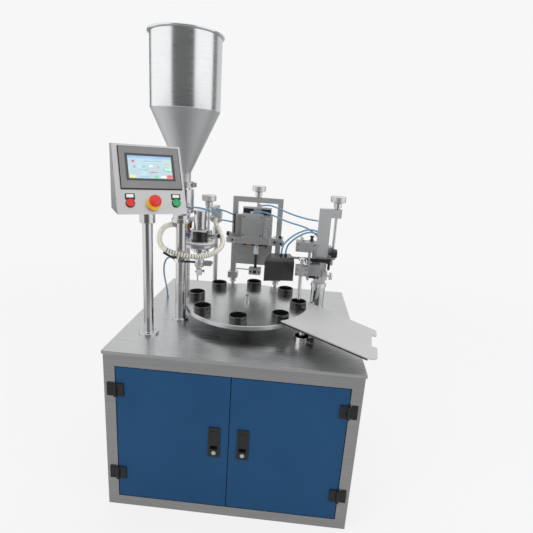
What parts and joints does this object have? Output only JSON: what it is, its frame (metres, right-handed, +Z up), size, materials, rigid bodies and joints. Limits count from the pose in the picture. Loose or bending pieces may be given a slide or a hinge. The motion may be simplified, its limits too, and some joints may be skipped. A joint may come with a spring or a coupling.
{
  "type": "tube sealing machine",
  "caption": "Rotary bench filling and sealing machine: indexing dial with cups, hopper with dosing head, press, ejector, delivery tray and control box on a cabinet with two doors.",
  "frame": {"origin": "on the floor at the middle of the cabinet, between the four foot holes", "axes": "+X to the machine's right as seen from the doors, -Y out of the doors, +Z up"},
  "size_m": [0.9769, 0.8814, 1.752],
  "materials": {
    "stainless": "brushed",
    "polished_steel": "polished",
    "panel_steel": "brushed",
    "aluminium": "satin anodised",
    "dark_aluminium": "satin anodised",
    "blue_paint": "satin",
    "black_metal": "satin",
    "grey_paint": "satin",
    "chrome": "polished",
    "dial_steel": "turned",
    "cup_black": "gloss",
    "black_plastic": "matte",
    "red_plastic": "gloss",
    "green_plastic": "gloss",
    "yellow_plastic": "satin",
    "tray_sheet": "matte",
    "hose_cream": "ribbed",
    "air_blue": "gloss",
    "smoked_plastic": "gloss"
  },
  "bodies": {
    "base": {"cabinet_frame": "stainless", "table_top": "stainless", "cabinet_panels": "panel_steel", "frame_hinges": "black_metal", "index_gearbox": "grey_paint", "drive_motor": "grey_paint", "electrical_rack": "black_plastic", "control_post": "polished_steel", "control_box": "panel_steel", "box_back_cover": "panel_steel", "touch_panel": "grey_paint", "switch_bodies": "black_plastic", "estop_base": "yellow_plastic", "hopper": "polished_steel", "hopper_clamp": "stainless", "metering_pump": "dark_aluminium", "hopper_column": "polished_steel", "fill_frame": "aluminium", "cap_frame": "aluminium", "eject_frame": "aluminium", "tray": "tray_sheet", "tray_post": "chrome", "ribbed_hose": "hose_cream", "air_line_1": "air_blue", "air_line_2": "air_blue", "air_line_3": "air_blue", "air_line_4": "air_blue", "air_line_5": "air_blue", "air_line_6": "air_blue", "air_line_7": "air_blue", "air_line_8": "air_blue"},
    "door_left": {"door_left": "blue_paint", "door_hinges_left": "black_metal", "latch_housing_left": "black_plastic"},
    "door_right": {"door_right": "blue_paint", "door_hinges_right": "black_metal", "latch_housing_right": "black_plastic"},
    "handle_left": {"latch_handle_left": "black_plastic"},
    "handle_right": {"latch_handle_right": "black_plastic"},
    "lock_left": {"lock_cylinder_left": "chrome"},
    "lock_right": {"lock_cylinder_right": "chrome"},
    "dial": {"dial_shaft": "polished_steel", "dial_plate": "dial_steel", "cups": "cup_black"},
    "stop_button": {"stop_button": "red_plastic"},
    "start_button": {"start_button": "green_plastic"},
    "estop_stem": {"estop_stem": "yellow_plastic"},
    "estop_head": {"estop_head": "red_plastic"},
    "fill_carriage": {"fill_carriage": "stainless", "fill_valve": "dark_aluminium"},
    "fill_knob": {"fill_knob": "aluminium"},
    "nozzle": {"nozzle": "stainless"},
    "cap_carriage": {"cap_carriage": "aluminium", "cap_cylinder": "dark_aluminium"},
    "cap_knob": {"cap_knob": "aluminium"},
    "press_head": {"press_head": "aluminium"},
    "eject_carriage": {"eject_carriage": "aluminium", "guard_sheet": "smoked_plastic"},
    "eject_knob": {"eject_knob": "aluminium"},
    "eject_rod": {"eject_rod": "chrome"}
  },
  "joints": [
    {"name": "door_left_swing", "type": "hinge", "parent": "base", "child": "door_left", "pos_m": [-0.4085, -0.4314, 0.323], "axis": [0, 0, -1], "range_deg": [0, 120]},
    {"name": "door_right_swing", "type": "hinge", "parent": "base", "child": "door_right", "pos_m": [0.4085, -0.4314, 0.323], "axis": [0, 0, 1], "range_deg": [0, 120]},
    {"name": "handle_left_pull", "type": "hinge", "parent": "door_left", "child": "handle_left", "pos_m": [-0.052, -0.4225, 0.361], "axis": [-1, 0, 0], "range_deg": [0, 40], "stiffness_Nm_per_rad": 0.1, "springref_deg": -17.19},
    {"name": "handle_right_pull", "type": "hinge", "parent": "door_right", "child": "handle_right", "pos_m": [0.052, -0.4225, 0.361], "axis": [-1, 0, 0], "range_deg": [0, 40], "stiffness_Nm_per_rad": 0.1, "springref_deg": -17.19},
    {"name": "lock_left_turn", "type": "hinge", "parent": "door_left", "child": "lock_left", "pos_m": [-0.052, -0.425, 0.278], "axis": [0, -1, 0], "range_deg": [0, 90]},
    {"name": "lock_right_turn", "type": "hinge", "parent": "door_right", "child": "lock_right", "pos_m": [0.052, -0.425, 0.278], "axis": [0, -1, 0], "range_deg": [0, 90]},
    {"name": "dial_spin", "type": "hinge", "parent": "base", "child": "dial", "pos_m": [-0.005, 0.008, 0.694], "axis": [0, 0, 1], "continuous": true},
    {"name": "stop_press", "type": "slide", "parent": "base", "child": "stop_button", "axis": [-0.4629, 0.7704, -0.4384], "range_m": [0, 0.003], "stiffness_N_per_m": 500, "springref_m": -0.002},
    {"name": "start_press", "type": "slide", "parent": "base", "child": "start_button", "axis": [-0.4629, 0.7704, -0.4384], "range_m": [0, 0.003], "stiffness_N_per_m": 500, "springref_m": -0.002},
    {"name": "estop_push", "type": "slide", "parent": "base", "child": "estop_stem", "axis": [-0.4629, 0.7704, -0.4384], "range_m": [0, 0.005]},
    {"name": "estop_twist", "type": "hinge", "parent": "estop_stem", "child": "estop_head", "pos_m": [-0.29757, -0.32987, 1.1484], "axis": [0.4629, -0.7704, 0.4384], "range_deg": [0, 45]},
    {"name": "fill_height", "type": "slide", "parent": "base", "child": "fill_carriage", "axis": [0, 0, 1], "range_m": [-0.012, 0.02]},
    {"name": "fill_knob_turn", "type": "hinge", "parent": "base", "child": "fill_knob", "pos_m": [-0.205, 0.112, 1.1], "axis": [0, 0, 1], "range_deg": [-720, 900]},
    {"name": "cap_height", "type": "slide", "parent": "base", "child": "cap_carriage", "axis": [0, 0, 1], "range_m": [-0.015, 0.02], "deforming": ["air_line_4", "air_line_5"]},
    {"name": "cap_knob_turn", "type": "hinge", "parent": "base", "child": "cap_knob", "pos_m": [-0.004, 0.285, 1.15], "axis": [0, 0, 1], "range_deg": [-720, 900]},
    {"name": "eject_height", "type": "slide", "parent": "base", "child": "eject_carriage", "axis": [0, 0, 1], "range_m": [-0.003, 0.02], "deforming": ["air_line_6", "air_line_7"]},
    {"name": "eject_knob_turn", "type": "hinge", "parent": "base", "child": "eject_knob", "pos_m": [0.347, 0.075, 1.15], "axis": [0, 0, 1], "range_deg": [-720, 900]},
    {"name": "nozzle_dip", "type": "slide", "parent": "fill_carriage", "child": "nozzle", "axis": [0, 0, -1], "range_m": [0, 0.03]},
    {"name": "press_down", "type": "slide", "parent": "cap_carriage", "child": "press_head", "axis": [0, 0, -1], "range_m": [0, 0.02]},
    {"name": "eject_down", "type": "slide", "parent": "eject_carriage", "child": "eject_rod", "axis": [0, 0, -1], "range_m": [0, 0.022]}
  ],
  "couplings": [
    {"joint": "fill_knob_turn", "follows": "fill_height", "rad_per_m": 628.32},
    {"joint": "cap_knob_turn", "follows": "cap_height", "rad_per_m": 628.32},
    {"joint": "eject_knob_turn", "follows": "eject_height", "rad_per_m": 628.32}
  ]
}
